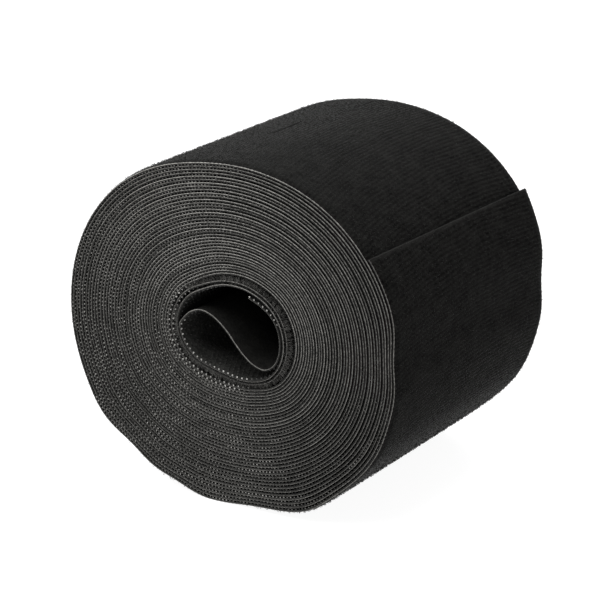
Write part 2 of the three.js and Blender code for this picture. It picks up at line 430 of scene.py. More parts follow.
class TapePath:
    """The tape's middle line in the XZ plane, from its free inner end to the cut tail."""

    def __init__(self):
        self.last_turn = WHOLE_LAPS + (CUT_ANGLE - START_ANGLE) % 360 / 360
        steps = round(self.last_turn * PATH_STEPS_PER_LAP) + SPARE_STEPS
        self.turns = np.arange(steps + 1) / PATH_STEPS_PER_LAP
        angles = START_ANGLE + 360 * self.turns
        radii = lap_radius(angles, self.turns, self.last_turn)
        laps = np.stack(
            [radii * np.cos(np.radians(angles)), radii * np.sin(np.radians(angles))], 1
        )
        keys = [np.array(point) for point in INNER_CURL] + [laps[0], laps[CURL_MEETS_LAP]]
        keys.insert(0, 2 * keys[0] - keys[1])
        parts = np.arange(CURL_STEPS)[:, None] / CURL_STEPS
        curl = np.concatenate(
            [through_four(*keys[i : i + 4], parts) for i in range(len(INNER_CURL))]
        )
        points = np.concatenate([curl, laps]) * MM
        self.points = points + np.array([MIDDLE_X, MIDDLE_Z])
        steps_long = np.linalg.norm(np.diff(self.points, axis=0), axis=1)
        self.lengths = np.concatenate([[0], np.cumsum(steps_long)])
        slopes = np.gradient(self.points, self.lengths, axis=0)
        slopes = slopes / np.linalg.norm(slopes, axis=1, keepdims=True)
        self.normals = np.stack([slopes[:, 1], -slopes[:, 0]], 1)
        self.curl_lengths = self.lengths[: len(curl)]
        self.lap_lengths = self.lengths[len(curl) :]
        self.lap_start = self.lap_lengths[0]
        self.flap_root = self.lengths[FLAP_ROOT_INDEX * CURL_STEPS]
        self.length = self.at_turn(self.last_turn)

    def at_turn(self, turn):
        """The length along the tape after so many turns."""
        return float(np.interp(turn, self.turns, self.lap_lengths))

    def at_joint(self, name):
        """The length along the last lap at the angle where a tail joint stands."""
        x, _, z = JOINTS[name]["pos_m"]
        angle = math.degrees(math.atan2(z - MIDDLE_Z, x - MIDDLE_X))
        return self.at_turn(self.last_turn - (CUT_ANGLE - angle) / 360)

    def surface(self, lengths, across, levels, seed):
        """Points on the tape: one row for each length and one column for each place across.

        A level is a height on the loop side of the tape's middle."""
        half = TAPE_WIDTH / 2
        to_end = np.clip(1 - (self.length - lengths) / TAIL_LIFT_REACH, 0, 1)
        askew = lengths[:, None] - CUT_SKEW * to_end[:, None] * across[None, :] / half
        place = [np.interp(askew, self.lengths, self.points[:, axis]) for axis in (0, 1)]
        normal = [np.interp(askew, self.lengths, self.normals[:, axis]) for axis in (0, 1)]
        wander = EDGE_WANDER * soft_noise(lengths / EDGE_WANDER_LENGTH, lengths * 0, seed)
        rear = smooth_step(across, TAIL_LIFT_START * half, half)
        levels = levels + TAIL_LIFT * to_end[:, None] ** 2 * rear[None, :]
        x = place[0] + levels * normal[0]
        z = place[1] + levels * normal[1]
        y = across[None, :] + wander[:, None]
        return np.stack([x, y + 0 * x, z], 2)


PATH = TapePath()


def pile_loft(lengths, across, sizes):
    """How far the pile stands over the fabric: not under the tail, on the floor or at the edges."""
    inset = sizes.tape_width / 2 - np.abs(across)
    room = np.interp(lengths, PATH.lengths, PATH.points[:, 1]) - CAD_LOW.z - sizes.loop_base
    bare = PATH.at_turn(PATH.last_turn - 1)
    free = np.clip(room, 0, PILE_LOFT) * smooth_step(lengths, bare - LOFT_REACH, bare)
    return free[:, None] * smooth_step(inset, RIM_BEVEL, LOFT_REACH)[None, :]


def tape_relief(lengths, across, sizes):
    """Ribs, clumps and creases of the brushed loop face, as heights in metres."""
    along, sideways = lengths[:, None], across[None, :]
    lump_length, lump_width = RIB_SWAY_LUMPS
    sway = soft_noise(along / lump_length, sideways / lump_width, sizes.seed)
    bow = RIB_BOW * (sideways - RIB_BOW_MIDDLE) ** 2
    phase = (along + bow) / sizes.rib_pitch + RIB_SWAY * sway
    ribs = 0.5 * sizes.rib_height * np.cos(2 * math.pi * phase)
    clumps = np.zeros_like(ribs)
    for size in CLUMP_SIZES:
        clumps += soft_noise(along / size, sideways / size, sizes.seed + 1) / len(CLUMP_SIZES)
    creases = np.zeros_like(ribs)
    for angle, place, half_length, depth in CREASES:
        middle = PATH.at_turn(PATH.last_turn - (CUT_ANGLE - angle) % 360 / 360)
        inward = np.exp(-(((along - middle) / CREASE_HALF_WIDTH) ** 2))
        reach = smooth_step(half_length * MM - np.abs(sideways - place * MM), 0, CREASE_FADE)
        creases -= depth * MM * inward * reach
    return ribs + sizes.clump_height * clumps + creases


def mesh_object(name, vertices, faces, materials):
    """A new object at the origin whose mesh holds its place."""
    mesh = bpy.data.meshes.new(name)
    mesh.from_pydata(vertices.reshape(-1, 3).tolist(), [], faces)
    for material in materials:
        mesh.materials.append(material)
    piece = bpy.data.objects.new(name, mesh)
    bpy.context.scene.collection.objects.link(piece)
    return piece


def strip(name, lengths, columns, low, high, materials, sizes, relief=None, cut=False):
    """A closed strip of tape between two levels, with bevelled slit edges.

    columns is how many points its outer face has across. Its first material is on both
    faces, its second on the slit edges and the ends and its third on the bevels of the side
    that isn't bonded. A cut strip's last row is bevelled as well and has the last material."""
    half = sizes.tape_width / 2
    loop_side = high > 0
    rim = RIM_BEVEL if loop_side else EDGE_BEVEL
    inner = np.array([-half, -half + EDGE_BEVEL, half - EDGE_BEVEL, half])
    inner_levels = np.array([low + EDGE_BEVEL, low, low, low + EDGE_BEVEL])
    body = np.linspace(half - rim, rim - half, columns)
    outer = np.concatenate([[half], body, [-half]])
    outer_levels = np.full(columns + 2, high)
    outer_levels[[0, -1]] = high - rim
    across = np.concatenate([inner, outer])
    levels = np.tile(np.concatenate([inner_levels, outer_levels]), (len(lengths), 1))
    lofted = 0 * levels
    on_body = slice(len(inner) + 1, -1)
    if relief is not None:
        levels[:, on_body] += relief(lengths, body, sizes)
        lofted[:, on_body] = pile_loft(lengths, body, sizes)
    if cut:
        levels[-1, on_body] = levels[-2, on_body] - rim
    points = PATH.surface(lengths, across, levels + lofted, sizes.seed + 2)

    ring, rows = len(across), len(lengths)
    inner_bevel, outer_bevel = (EDGE, RIM) if loop_side else (RIM, EDGE)
    edges = {0: inner_bevel, 2: inner_bevel, 3: EDGE}
    edges.update({len(inner): outer_bevel, ring - 2: outer_bevel, ring - 1: EDGE})
    worn = len(materials) - 1
    faces, slots = [], []
    for row in range(rows - 1):
        here, there = row * ring, (row + 1) * ring
        for column in range(ring):
            following = (column + 1) % ring
            faces.append((here + column, there + column, there + following, here + following))
            at_cut = cut and row == rows - 2 and column > len(inner)
            slots.append(edges.get(column, worn if at_cut else FACE))
    last = (rows - 1) * ring
    faces += [(ring - 1, *range(ring - 1)), (last, *range(last + ring - 1, last, -1))]
    slots += [EDGE, worn if cut else EDGE]

    piece = mesh_object(name, points, faces, materials)
    mesh = piece.data
    mesh.polygons.foreach_set("material_index", slots)
    mesh.polygons.foreach_set("use_smooth", [True] * len(slots))
    sharpen(mesh, ring, (1, 2, len(inner) + 1, ring - 2))
    place = mesh.attributes.new("tape_place", "FLOAT_VECTOR", "POINT")
    table = np.stack([np.repeat(lengths, ring), np.tile(across, rows), levels.ravel()], 1)
    place.data.foreach_set("vector", table.astype(np.float32).ravel())
    mesh.update()
    return piece


def sharpen(mesh, ring, columns):
    """Marks the lines where a strip's faces meet its bevelled slit edges, and its ends."""
    ends = np.empty(len(mesh.edges) * 2, np.int32)
    mesh.edges.foreach_get("vertices", ends)
    first, second = ends.reshape(-1, 2).T
    along = (first % ring == second % ring) & np.isin(first % ring, columns)
    last_row = len(mesh.vertices) // ring - 1
    row = first // ring
    across = (row == second // ring) & ((row == 0) | (row == last_row))
    mesh.attributes.new("sharp_edge", "BOOLEAN", "EDGE").data.foreach_set("value", along | across)


def strip_lengths(start, end):
    """Places along the tape for a wound strip: the same number on every lap."""
    turns = np.arange(0, PATH.last_turn, 1 / STRIP_STEPS_PER_LAP)
    laps = np.interp(turns, PATH.turns, PATH.lap_lengths)
    inside = np.concatenate([PATH.curl_lengths, laps])
    inside = inside[(inside > start + STRIP_END_ROOM) & (inside < end - STRIP_END_ROOM)]
    return np.concatenate([[start], inside, [end]])


def even_lengths(start, end, step):
    """Places from start to end, about one step apart."""
    return np.linspace(start, end, max(2, round((end - start) / step) + 1))


def feed(node, inputs):
    """Sets a node's inputs by name or number, each to a value or from another node's socket."""
    for name, value in inputs.items():
        if isinstance(value, bpy.types.NodeSocket):
            node.id_data.links.new(value, node.inputs[name])
        else:
            node.inputs[name].default_value = value


def add_node(tree, kind, inputs=None, **settings):
    """A new node of a tree with its settings and its inputs."""
    node = tree.nodes.new(kind)
    for name, value in settings.items():
        setattr(node, name, value)
    feed(node, inputs or {})
    return node


def new_group(kind, name, inputs, outputs):
    """An empty node group with named sockets, what it is given and the node that ends it."""
    tree = bpy.data.node_groups.new(name, kind)
    for way, sockets in (("INPUT", inputs), ("OUTPUT", outputs)):
        for title, socket in sockets.items():
            tree.interface.new_socket(title, in_out=way, socket_type="NodeSocket" + socket)
    return tree, add_node(tree, "NodeGroupInput").outputs, add_node(tree, "NodeGroupOutput")


def strand_group(name, numbers):
    """An empty geometry group that takes a guide, some numbers, a seed and a material."""
    inputs = {"Geometry": "Geometry", **dict.fromkeys(numbers, "Float")}
    inputs.update({"Seed": "Int", "Material": "Material"})
    return new_group("GeometryNodeTree", name, inputs, {"Geometry": "Geometry"})


def made_once(name, maker):
    """The node group of a name, made when it is first asked for."""
    return bpy.data.node_groups.get(name) or maker(name)


def calculated(tree, operation, *values):
    """The result of a sum on numbers and number sockets."""
    node = add_node(tree, "ShaderNodeMath", dict(enumerate(values)), operation=operation)
    return node.outputs[0]


def random_number(tree, seed, least, most):
    """A random number for each point."""
    ends = {2: least, 3: most, "Seed": seed}
    return add_node(tree, "FunctionNodeRandomValue", ends, data_type="FLOAT").outputs[1]


def bent_strand(tree, start, middle, end, steps, thickness):
    """A strand from start to end that bends towards middle, with a square section."""
    ends = {"Resolution": steps, "Start": start, "Middle": middle, "End": end}
    bend = add_node(tree, "GeometryNodeCurveQuadraticBezier", ends)
    sides = {"Width": thickness, "Height": thickness}
    profile = add_node(tree, "GeometryNodeCurvePrimitiveQuadrilateral", sides)
    tube = add_node(tree, "GeometryNodeCurveToMesh", {
        "Curve": bend.outputs["Curve"],
        "Profile Curve": profile.outputs["Curve"],
        "Fill Caps": True,
    })
    return tube.outputs["Mesh"]


def plant(tree, given, result, points, strand, rotation, size, scales):
    """Stands a strand on every point, each at its own scale, and ends the tree in real geometry."""
    copies = add_node(tree, "GeometryNodeInstanceOnPoints", {
        "Points": points,
        "Instance": strand,
        "Rotation": rotation,
        "Scale": calculated(tree, "MULTIPLY", size, random_number(tree, given["Seed"], *scales)),
    })
    instances = {"Geometry": copies.outputs["Instances"]}
    real = add_node(tree, "GeometryNodeRealizeInstances", instances)
    smooth = add_node(tree, "GeometryNodeSetShadeSmooth", {"Geometry": real.outputs["Geometry"]})
    finished = {"Geometry": smooth.outputs["Geometry"], "Material": given["Material"]}
    painted = add_node(tree, "GeometryNodeSetMaterial", finished)
    feed(result, {"Geometry": painted.outputs["Geometry"]})


def hook_tree(name):
    """Hooks along guide lines: each stands square off the tape and bends along its row."""
    tree, given, result = strand_group(name, ("Hook Pitch", "Hook Height", "Hook Strand"))
    rows = add_node(tree, "GeometryNodeMeshToCurve", {"Mesh": given["Geometry"]})
    line = {"Curve": rows.outputs["Curve"], "Length": given["Hook Pitch"]}
    places = add_node(tree, "GeometryNodeCurveToPoints", line, mode="LENGTH")
    tangent = places.outputs["Tangent"]
    square = {0: tangent, 1: (0, 1, 0)}
    stand = add_node(tree, "ShaderNodeVectorMath", square, operation="CROSS_PRODUCT")
    lean = add_node(tree, "GeometryNodeInputNamedAttribute", {"Name": "lean"}, data_type="FLOAT")
    bend = {0: tangent, "Scale": lean.outputs["Attribute"]}
    facing = add_node(tree, "ShaderNodeVectorMath", bend, operation="SCALE")
    axes = {"Primary Axis": stand.outputs[0], "Secondary Axis": facing.outputs[0]}
    turned = add_node(
        tree, "FunctionNodeAxesToRotation", axes, primary_axis="Z", secondary_axis="X"
    )
    height = given["Hook Height"]
    thickness = calculated(tree, "DIVIDE", given["Hook Strand"], height)
    hook = bent_strand(tree, *HOOK_SHAPE, HOOK_STEPS, thickness)
    points, rotation = places.outputs["Points"], turned.outputs["Rotation"]
    plant(tree, given, result, points, hook, rotation, height, HOOK_SCALES)
    return tree


def pile_tree(name):
    """Raised loops of pile, scattered over a guide surface and turned every way."""
    numbers = ("Pile Density", "Pile Span", "Pile Rise", "Pile Strand")
    tree, given, result = strand_group(name, numbers)
    ground = {"Mesh": given["Geometry"], "Density": given["Pile Density"], "Seed": given["Seed"]}
    places = add_node(
        tree, "GeometryNodeDistributePointsOnFaces", ground, distribute_method="RANDOM"
    )
    spin = {"Axis": (0, 0, 1), "Angle": random_number(tree, given["Seed"], 0, 2 * math.pi)}
    about = add_node(tree, "FunctionNodeAxisAngleToRotation", spin)
    turns = {"Rotation": places.outputs["Rotation"], "Rotate By": about.outputs["Rotation"]}
    turned = add_node(tree, "FunctionNodeRotateRotation", turns, rotation_space="LOCAL")
    span = given["Pile Span"]
    thickness = calculated(tree, "DIVIDE", given["Pile Strand"], span)
    peak = {"X": PILE_TOP[0], "Y": PILE_TOP[1], "Z": given["Pile Rise"]}
    top = add_node(tree, "ShaderNodeCombineXYZ", peak).outputs["Vector"]
    start, end = PILE_FEET
    loop = bent_strand(tree, start, top, end, PILE_STEPS, thickness)
    points, rotation = places.outputs["Points"], turned.outputs["Rotation"]
    plant(tree, given, result, points, loop, rotation, span, PILE_SCALES)
    return tree


def grown(guide, tree, values):
    """Turns a guide object into the plain mesh that a geometry tree grows on it."""
    modifier = guide.modifiers.new(tree.name, "NODES")
    modifier.node_group = tree
    for socket in tree.interface.items_tree:
        if socket.in_out == "INPUT" and socket.name in values:
            modifier[socket.identifier] = values[socket.name]
    bpy.context.view_layer.update()
    evaluated = guide.evaluated_get(bpy.context.evaluated_depsgraph_get())
    mesh = bpy.data.meshes.new_from_object(evaluated)
    if not mesh.polygons:
        raise RuntimeError(guide.name + " has nothing growing on it")
    guide.modifiers.remove(modifier)
    bare = guide.data
    guide.data = mesh
    bpy.data.meshes.remove(bare)
    mesh.name = guide.name
    return guide


def edge_row_depth(lengths):
    """How much deeper than on the left the outermost hooks of a lap stand in the roll."""
    x = np.interp(lengths, PATH.lengths, PATH.points[:, 0]) - MIDDLE_X
    z = np.interp(lengths, PATH.lengths, PATH.points[:, 1]) - MIDDLE_Z
    angle = np.degrees(np.arctan2(z, x)) % 360
    turn = np.interp(lengths, PATH.lap_lengths, PATH.turns)
    fall, near, far, rise = EDGE_ROW_ANGLES
    back = angle - FIRST_LAP_REACH * (turn < FIRST_LAP_END)
    tight = smooth_step(lengths, *(PATH.at_turn(turn) for turn in TIGHT_TURNS))
    shown = smooth_step(angle, fall, near) * (1 - tight)
    shown = shown + smooth_step(angle, *TIGHT_ROW_ANGLES) * tight
    shown = shown * (1 - smooth_step(back, far, rise))
    shown = shown + TIGHT_ROW_LEAST * tight * (1 - shown)
    shown = shown * smooth_step(lengths, PATH.lap_start - CURL_END_REACH, PATH.lap_start)
    first, last = BARE_TURNS
    shown = shown * (1 - smooth_step(turn, *first) + smooth_step(turn, *last))
    shown = shown + 1 - smooth_step(lengths, *FLAP_TIP_REACH)
    uneven = 0.5 + 0.5 * soft_noise(lengths / TIGHT_ROW_WANDER, lengths * 0, TIGHT_ROW_SEED)
    return EDGE_ROW_DEPTH * (1 - shown) + TIGHT_ROW_DEPTH * tight * uneven


def hooks(name, start, end, rows, sizes, finish_name, depth=None, pitch=None):
    """Hooks on the hook face from one length of the tape to another, in rows along it.

    depth tells how far a row is moved in from its own place at each length, and pitch how far
    apart its hooks stand, if it isn't the usual distance. Closer hooks are finer."""
    pitch = pitch or sizes.hook_pitch
    vertices, edges, leans = [], [], []
    level = -sizes.hook_base - BOND_GAP
    for index, across in enumerate(rows):
        shift = sizes.hook_pitch / 2 * (index % 2)
        lengths = even_lengths(start + shift, end, HOOK_LINE_STEP)
        levels = np.full((len(lengths), 1), level)
        line = PATH.surface(lengths, np.array([across]), levels, sizes.seed + 2)[:, 0]
        if depth is not None:
            line[:, 1] -= math.copysign(1, across) * depth(lengths)
        first = sum(len(part) for part in vertices)
        edges += [(first + i, first + i + 1) for i in range(len(line) - 1)]
        leans += [1 if index % 2 else -1] * len(line)
        vertices.append(line)
    guide = mesh_object(name, np.concatenate(vertices), [], [])
    mesh = guide.data
    mesh.edges.add(len(edges))
    mesh.edges.foreach_set("vertices", np.array(edges, np.int32).ravel())
    mesh.attributes.new("lean", "FLOAT", "POINT").data.foreach_set("value", leans)
    mesh.update()
    piece = grown(guide, made_once("hook_rows", hook_tree), {
        "Hook Pitch": pitch,
        "Hook Height": sizes.hook_height,
        "Hook Strand": sizes.hook_strand * pitch / sizes.hook_pitch,
        "Seed": sizes.seed,
        "Material": finish(finish_name),
    })
    return piece


def pile(name, start, end, sizes, seed, band=None, rise=PILE_RISE, share=1):
    """Raised pile on the loop face from one length of the tape to another.

    band is the stretch across the tape that it covers, or all of it, rise how high its loops
    are and share how much denser than usual they stand."""
    step_along, step_across = PILE_GUIDE_STEPS
    lengths = even_lengths(start, end, step_along)
    half = sizes.tape_width / 2
    across = even_lengths(*(band or (-half, half)), step_across)
    levels = np.full((len(lengths), len(across)), sizes.loop_base)
    levels += pile_loft(lengths, across, sizes)
    points = PATH.surface(lengths, across, levels, sizes.seed + 2)
    columns = len(across)
    faces = [
        (r * columns + c, r * columns + c + 1, (r + 1) * columns + c + 1, (r + 1) * columns + c)
        for r in range(len(lengths) - 1)
        for c in range(columns - 1)
        if points[r : r + 2, c, 2].min() > CAD_LOW.z + FLOOR_ROOM
    ]
    guide = mesh_object(name, points, faces, [])
    piece = grown(guide, made_once("raised_pile", pile_tree), {
        "Pile Density": sizes.pile_density * share,
        "Pile Span": sizes.pile_span,
        "Pile Rise": rise,
        "Pile Strand": sizes.pile_strand,
        "Seed": seed,
        "Material": finish("loose_strand" if band else "outer_strand"),
    })
    return piece


def fibre_group(name):
    """Tone and height of matted fibres: fine grain over wider, softer patches."""
    inputs = {"Vector": "Vector", "Grain Size": "Float", "Patch Size": "Float"}
    outputs = {"Tone": "Float", "Height": "Float"}
    tree, given, result = new_group("ShaderNodeTree", name, inputs, outputs)
    layers = []
    for size in ("Grain Size", "Patch Size"):
        noise = add_node(tree, "ShaderNodeTexNoise", {
            "Vector": given["Vector"],
            "Scale": calculated(tree, "DIVIDE", 1, given[size]),
            "Detail": 3,
            "Roughness": 0.6,
        })
        layers.append(noise.outputs["Fac"])
    grain, patch = layers
    soft = calculated(tree, "MULTIPLY", patch, 1 - GRAIN_WEIGHT)
    both = calculated(tree, "MULTIPLY_ADD", grain, GRAIN_WEIGHT, soft)
    feed(result, {"Tone": ramp(tree, both, (0.4, 0.6)), "Height": grain})
    return tree


def near_cut_group(name):
    """How near a place on the tape is to its cut: 0 from a reach away, 1 at the cut."""
    inputs = {"Vector": "Vector", "Reach": "Float"}
    tree, given, result = new_group("ShaderNodeTree", name, inputs, {"Share": "Float"})
    start = calculated(tree, "SUBTRACT", PATH.length, given["Reach"])
    along = coordinate(tree, given["Vector"], "X")
    feed(result, {"Share": ramp(tree, along, (start, PATH.length))})
    return tree


def fibre_grain(tree, place, sizes):
    """The tone and the height of fibre grain in a material, with its own sizes in metres."""
    grain, patch = sizes
    inputs = {"Vector": place, "Grain Size": grain, "Patch Size": patch}
    group = made_once("fibre_grain", fibre_group)
    node = add_node(tree, "ShaderNodeGroup", inputs, node_tree=group)
    return node.outputs["Tone"], node.outputs["Height"]


def near_cut(tree, place, reach):
    """The nearness to the cut in a material, over a reach in metres."""
    inputs = {"Vector": place, "Reach": reach}
    group = made_once("near_cut", near_cut_group)
    return add_node(tree, "ShaderNodeGroup", inputs, node_tree=group).outputs["Share"]


def coordinate(tree, place, axis):
    """One coordinate of a place."""
    return add_node(tree, "ShaderNodeSeparateXYZ", {"Vector": place}).outputs[axis]


def ramp(tree, value, ends, results=(0, 1)):
    """A number that goes from one result to the other as a value goes between two ends."""
    inputs = {"Value": value, "From Min": ends[0], "From Max": ends[1]}
    inputs.update({"To Min": results[0], "To Max": results[1]})
    return add_node(tree, "ShaderNodeMapRange", inputs).outputs["Result"]


def mixed(tree, share, first, second):
    """A colour between two others."""
    inputs = {"Factor": share, 6: first, 7: second}
    return add_node(tree, "ShaderNodeMix", inputs, data_type="RGBA").outputs[2]


def tone_range(tree, tone, colour, dark, light):
    """A colour that goes from dark to light times itself with a tone."""
    ends = [(*(times * part for part in colour), 1) for times in (dark, light)]
    return mixed(tree, tone, *ends)


def bump(tree, height, strength, distance):
    """A normal from a height."""
    inputs = {"Strength": strength, "Distance": distance, "Height": height}
    return add_node(tree, "ShaderNodeBump", inputs).outputs["Normal"]


def object_place(tree):
    """The place on the piece, in metres."""
    return add_node(tree, "ShaderNodeTexCoord").outputs["Object"]


def tape_place(tree):
    """The place on the tape: length along it, distance across it and level, in metres."""
    return add_node(tree, "ShaderNodeAttribute", attribute_name="tape_place").outputs["Vector"]


def brushed_loop(tree, shader, colour):
    """Brushed loop fabric: near black, matted, with a soft sheen, with painted shade in its valleys and
    creases, painted light on its crests and a painted highlight beside the cut.
    """
    place = tape_place(tree)
    tone, height = fibre_grain(tree, place, FABRIC_GRAIN)
    base = bpy.context.scene.tape_roll_sizes.loop_base
    # Painted shade and light: the tone follows the relief, darker in valleys and creases and lighter on
    # crests.
    raised = ramp(tree, coordinate(tree, place, "Z"), (base - RIB_SHADE, base + RIB_SHADE))
    blend = add_node(
        tree, "ShaderNodeMix", {"Factor": 0.5, "A": tone, "B": raised}, data_type="FLOAT"
    )
    fabric = tone_range(tree, blend.outputs["Result"], colour, dark=0.0, light=2.8)
    # Painted highlight: paler beside the cut.
    highlight_share = calculated(tree, "MULTIPLY", near_cut(tree, place, CUT_HIGHLIGHT_REACH), CUT_HIGHLIGHT_SHARE)
    highlight_grey = (*bpy.context.scene.tape_roll_colours.cut_highlight_colour, 1)
    feed(shader, {
        "Base Color": mixed(tree, highlight_share, fabric, highlight_grey),
        "Normal": bump(tree, height, strength=0.8, distance=0.25 * MM),
        "Sheen Weight": 0.34,
        "Sheen Roughness": 0.15,
    })


def pressed_loop(tree, shader, colour):
    """Loop fabric that lies inside the roll: pressed flat and without sheen, so it looks darker, though
    its tone is painted lighter than the brushed face's, painted light that lifts the shade in the bore.
    """
    tone, height = fibre_grain(tree, tape_place(tree), FABRIC_GRAIN)
    feed(shader, {
        # Painted light: a lighter tone than the brushed face's, lifting the shade in the bore.
        "Base Color": tone_range(tree, tone, colour, dark=1.5, light=3.2),
        "Normal": bump(tree, height, strength=0.8, distance=0.25 * MM),
    })


def pile_strand(tree, shader, colour):
    """Single strands of raised pile."""
    tone, _ = fibre_grain(tree, object_place(tree), STRAND_GRAIN)
    feed(shader, {
        "Base Color": tone_range(tree, tone, colour, dark=0.4, light=1.8),
        "Sheen Weight": 0.03,
        "Sheen Roughness": 0.4,
    })


def hook_film(tree, shader, colour):
    """The film that carries the hooks: satin black with faint flow marks."""
    tone, height = fibre_grain(tree, tape_place(tree), FILM_GRAIN)
    feed(shader, {
        "Base Color": tone_range(tree, tone, colour, dark=0.6, light=1.5),
        "Normal": bump(tree, height, strength=0.3, distance=0.1 * MM),
    })


def hook_plastic(tree, shader, colour):
    """Moulded hooks: satin plastic whose tone differs from hook to hook, painted paler at the slit edges
    as a painted highlight.
    """
    place = object_place(tree)
    tone, _ = fibre_grain(tree, place, HOOK_GRAIN)
    away = calculated(tree, "ABSOLUTE", coordinate(tree, place, "Y"))
    half = bpy.context.scene.tape_roll_sizes.tape_width / 2
    # Painted highlight: paler towards the slit edge.
    highlighted = ramp(tree, away, [half - depth for depth in HOOK_HIGHLIGHT_DEPTHS])
    inside = bpy.context.scene.tape_roll_colours.hook_colour
    tones = [tone_range(tree, tone, part, dark=0.3, light=1.7) for part in (inside, colour)]
    feed(shader, {"Base Color": mixed(tree, highlighted, *tones)})


def slit_edge(tree, shader, colour):
    """A slit edge: grey, uneven along the tape, with painted shade on the right and darker towards the
    cut.
    """
    place = tape_place(tree)
    tone, height = fibre_grain(tree, place, EDGE_GRAIN)
    # Painted shade: darker on the right, away from the key lamp, starting further left on the loose laps.
    loose_laps = [PATH.at_turn(turn) for turn in LOOSE_EDGE_TURNS]
    shift = ramp(tree, coordinate(tree, place, "X"), loose_laps, (LOOSE_EDGE_SHIFT, 0))
    moved = calculated(tree, "ADD", coordinate(tree, object_place(tree), "X"), shift)
    painted_shade = ramp(tree, moved, PAINTED_SHADE_SIDE, (0, PAINTED_SHADE_SHARE))
    at_cut = near_cut(tree, place, CUT_REACH)
    darker = calculated(tree, "MULTIPLY_ADD", at_cut, CUT_SHARE - PAINTED_SHADE_SHARE, painted_shade)
    grey = tone_range(tree, tone, colour, dark=0.45, light=1.55)
    feed(shader, {
        "Base Color": mixed(tree, darker, grey, (0, 0, 0, 1)),
        "Normal": bump(tree, height, strength=0.3, distance=0.1 * MM),
    })


def floor_paper(tree, shader, colour):
    """Pale studio paper that glows a little, so that it stays white under the roll."""
    tone, _ = fibre_grain(tree, object_place(tree), PAPER_GRAIN)
    feed(shader, {
        "Base Color": tone_range(tree, tone, colour, dark=0.99, light=1.0),
        "Emission Color": (1, 1, 1, 1),
        "Emission Strength": 0.93,
    })


# How each finish is made: its kind, its colour, its roughness and its gloss.
FINISHES = {
    "brushed_loop": (brushed_loop, "loop_colour", 0.92, 0.04),
    "pressed_loop": (pressed_loop, "loop_colour", 0.95, 0.04),
    "outer_strand": (pile_strand, "strand_colour", 0.8, 0.06),
    "loose_strand": (pile_strand, "loose_strand_lit_colour", 0.8, 0.06),
    "hook_film": (hook_film, "base_colour", 0.7, 0.1),
    "plain_hooks": (hook_plastic, "hook_colour", 0.6, 0.15),
    "edge_hooks": (hook_plastic, "edge_hook_highlight_colour", 0.4, 0.5),
    "loose_hooks": (hook_plastic, "loose_hook_highlight_colour", 0.4, 0.5),
    "film_edge": (slit_edge, "film_edge_colour", 0.75, 0.15),
    "film_rim": (slit_edge, "film_rim_colour", 0.7, 0.2),
    "fabric_edge": (slit_edge, "fabric_edge_colour", 0.85, 0.15),
    "fabric_rim": (slit_edge, "rim_highlight_colour", 0.85, 0.2),
    "cut_edge": (slit_edge, "cut_edge_colour", 0.9, 0.1),
    "floor_paper": (floor_paper, "floor_colour", 0.9, 0.5),
}


def finish(name):
    """The material of a finish, made when it is first asked for."""
    material = bpy.data.materials.get(name)
    if material is None:
        kind, colour, roughness, gloss = FINISHES[name]
        material = bpy.data.materials.new(name)
        material.use_nodes = True
        tree = material.node_tree
        shader = tree.nodes["Principled BSDF"]
        feed(shader, {"Roughness": roughness, "Specular IOR Level": gloss})
        kind(tree, shader, getattr(bpy.context.scene.tape_roll_colours, colour))
    return material


def loop_strip(name, lengths, columns, sizes, relief=None, cut=False):
    """A stretch of the loop strip, brushed up where it has relief, with its cut end or without."""
    names = ["brushed_loop" if relief else "pressed_loop", "fabric_edge", "fabric_rim"]
    materials = [finish(part) for part in names + ["cut_edge"] * cut]
    levels = (BOND_GAP, sizes.loop_base)
    piece = strip(name, lengths, columns, *levels, materials, sizes, relief, cut)
    return piece


def hook_strip(name, lengths, columns, sizes):
    """A stretch of the hook strip."""
    materials = [finish(part) for part in ("hook_film", "film_edge", "film_rim")]
    piece = strip(name, lengths, columns, -sizes.hook_base, -BOND_GAP, materials, sizes)
    return piece


def declare_sheet(node):
    """Hides the solid whose place a stretch of tape takes."""
    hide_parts(node)


def hook_rows_across(sizes):
    """Where rows of hooks run, from one slit edge to the other."""
    reach = sizes.tape_width / 2 - HOOK_ROW_INSET
    return np.linspace(-reach, reach, round(2 * reach / sizes.hook_pitch) + 1)


def bend_points(name, along, reach):
    """Where a bend starts and ends: on each side of a joint's line."""
    pivot = Vector(JOINTS[name]["pos_m"])
    way = Vector((along[0], 0, along[1])).normalized()
    return pivot - reach * way, pivot + reach * way


def tail_marks():
    """Lengths along the tape where the outer lap and the tail's pieces meet, to the cut."""
    lines = [PATH.at_joint(name) for name in TAIL_JOINTS]
    return [
        lines[0] - TAIL_LEAD,
        (lines[0] + lines[1]) / 2,
        (lines[1] + lines[2]) / 2,
        PATH.length,
    ]


def tail_bend(index):
    """The bodies, start and end of one of the tail's bends."""
    bodies = ("roll", "tail_1", "tail_2", "tail_3")
    name = TAIL_JOINTS[index]
    x, _, z = JOINTS[name]["pos_m"]
    start, end = bend_points(name, (MIDDLE_Z - z, x - MIDDLE_X), TAIL_BENDS[index])
    return bodies[index], bodies[index + 1], start, end


def flap_bend():
    """The start and end of the free inner end's bend, up and to the right."""
    return bend_points("inner_end_flex", (1, 1), FLAP_BEND)


